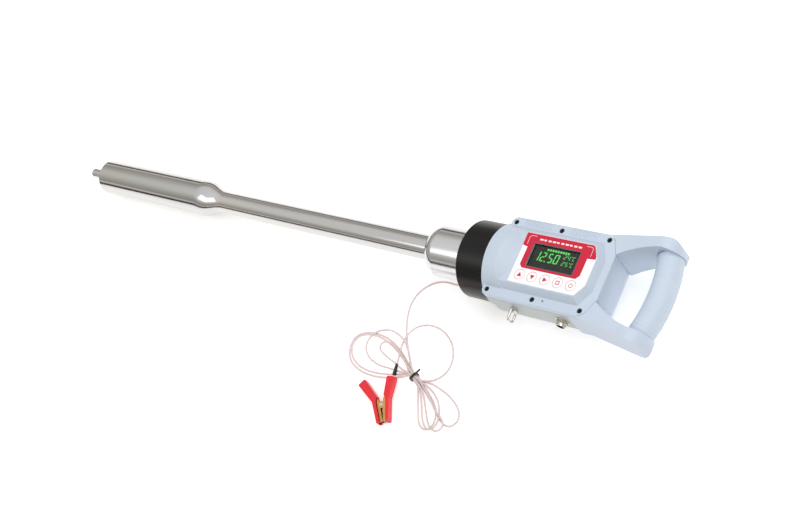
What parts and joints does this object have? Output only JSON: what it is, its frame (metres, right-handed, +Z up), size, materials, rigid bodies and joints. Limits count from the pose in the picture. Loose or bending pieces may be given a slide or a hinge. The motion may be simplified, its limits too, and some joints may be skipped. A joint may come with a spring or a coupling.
{
  "type": "grain moisture meter",
  "caption": "Long probe instrument: steel sensor probe, black collar, grey housing with display and keys, D-shaped handle, and a bundled ground lead with a spring clip.",
  "frame": {"origin": "on the surface the instrument lies on, below the middle of its length and width, the ground lead left out", "axes": "+X along the probe from its tip towards the handle, +Z up out of the display, the instrument lying on its back and on its sensor head"},
  "size_m": [1.0111, 0.2858, 0.0988],
  "materials": {
    "polished_steel": "polished",
    "polished_aluminium": "polished",
    "nylon_white": "satin",
    "board_green": "satin",
    "cable_grey": "matte",
    "rubber_black": "matte",
    "collar_black": "gloss",
    "shell_plastic": "satin",
    "cover_plastic": "satin",
    "grip_plastic": "satin",
    "screw_steel": "satin",
    "light_lens": "gloss",
    "label_film": "satin",
    "window_glass": "gloss",
    "display_glass": "gloss",
    "backlight": "satin",
    "switch_black": "matte",
    "cell_wrap": "gloss",
    "bright_metal": "polished",
    "brass": "polished",
    "lead_jacket": "satin",
    "tie_black": "matte",
    "vinyl_red": "satin"
  },
  "bodies": {
    "instrument": {"battery_cells": "cell_wrap", "battery_holder": "nylon_white", "board_posts": "nylon_white", "board_screws": "screw_steel", "buzzer": "switch_black", "charging_socket": "bright_metal", "clip_fixed_boot": "vinyl_red", "clip_fixed_jaw": "brass", "clip_pin": "bright_metal", "clip_spring": "screw_steel", "collar": "collar_black", "collar_seal": "rubber_black", "core_electrode": "polished_steel", "coupler": "polished_aluminium", "coupler_gasket": "rubber_black", "coupler_nut": "polished_steel", "coupler_seals": "rubber_black", "cover_gasket": "rubber_black", "cover_screws": "screw_steel", "front_cover": "cover_plastic", "grip": "grip_plastic", "ground_lead": "lead_jacket", "ground_lead_end": "lead_jacket", "handle_frame": "cover_plastic", "handle_screws": "screw_steel", "head_end_cap": "polished_steel", "head_spacers": "nylon_white", "key_switches": "switch_black", "lcd_backlight": "backlight", "lcd_module": "display_glass", "lead_gland": "collar_black", "lead_hank": "lead_jacket", "lead_sleeve": "tie_black", "main_board": "board_green", "neck_sleeve": "polished_steel", "overlay_label": "label_film", "probe_shaft": "polished_steel", "rear_shell": "shell_plastic", "sensor_board": "board_green", "sensor_head": "polished_steel", "shaft_ferrule": "polished_steel", "signal_cable": "cable_grey", "socket_back_nut": "brass", "socket_insert": "switch_black", "socket_ring_nut": "brass", "status_light": "light_lens", "strap_lug": "bright_metal", "temperature_sensor": "polished_steel", "tip_electrode": "polished_steel", "tip_insulator": "nylon_white", "twist_tie": "tie_black", "window_lens": "window_glass"},
    "strap_bail": {"strap_bail": "bright_metal"},
    "clip_jaw": {"clip_moving_jaw": "brass", "clip_moving_boot": "vinyl_red"},
    "key_1": {"key_1": "label_film"},
    "key_2": {"key_2": "label_film"},
    "key_3": {"key_3": "label_film"},
    "key_4": {"key_4": "label_film"},
    "key_5": {"key_5": "label_film"}
  },
  "joints": [
    {"name": "key_1_press", "type": "slide", "parent": "instrument", "child": "key_1", "axis": [0.0317, 0, -0.9995], "range_m": [0, 0.0004], "stiffness_N_per_m": 1500, "springref_m": -0.0002},
    {"name": "key_2_press", "type": "slide", "parent": "instrument", "child": "key_2", "axis": [0.0317, 0, -0.9995], "range_m": [0, 0.0004], "stiffness_N_per_m": 1500, "springref_m": -0.0002},
    {"name": "key_3_press", "type": "slide", "parent": "instrument", "child": "key_3", "axis": [0.0317, 0, -0.9995], "range_m": [0, 0.0004], "stiffness_N_per_m": 1500, "springref_m": -0.0002},
    {"name": "key_4_press", "type": "slide", "parent": "instrument", "child": "key_4", "axis": [0.0317, 0, -0.9995], "range_m": [0, 0.0004], "stiffness_N_per_m": 1500, "springref_m": -0.0002},
    {"name": "key_5_press", "type": "slide", "parent": "instrument", "child": "key_5", "axis": [0.0317, 0, -0.9995], "range_m": [0, 0.0004], "stiffness_N_per_m": 1500, "springref_m": -0.0002},
    {"name": "strap_bail_swing", "type": "hinge", "parent": "instrument", "child": "strap_bail", "pos_m": [0.32376, -0.05155, 0.05594], "axis": [-0.0317, 0, 0.9995], "range_deg": [-80, 80]},
    {"name": "clip_jaw_open", "type": "hinge", "parent": "instrument", "child": "clip_jaw", "pos_m": [0.17463, -0.19521, 0.00659], "axis": [-0.0324, 0.0518, -0.9981], "range_deg": [0, 30], "stiffness_Nm_per_rad": 0.05, "springref_deg": -20.05}
  ]
}
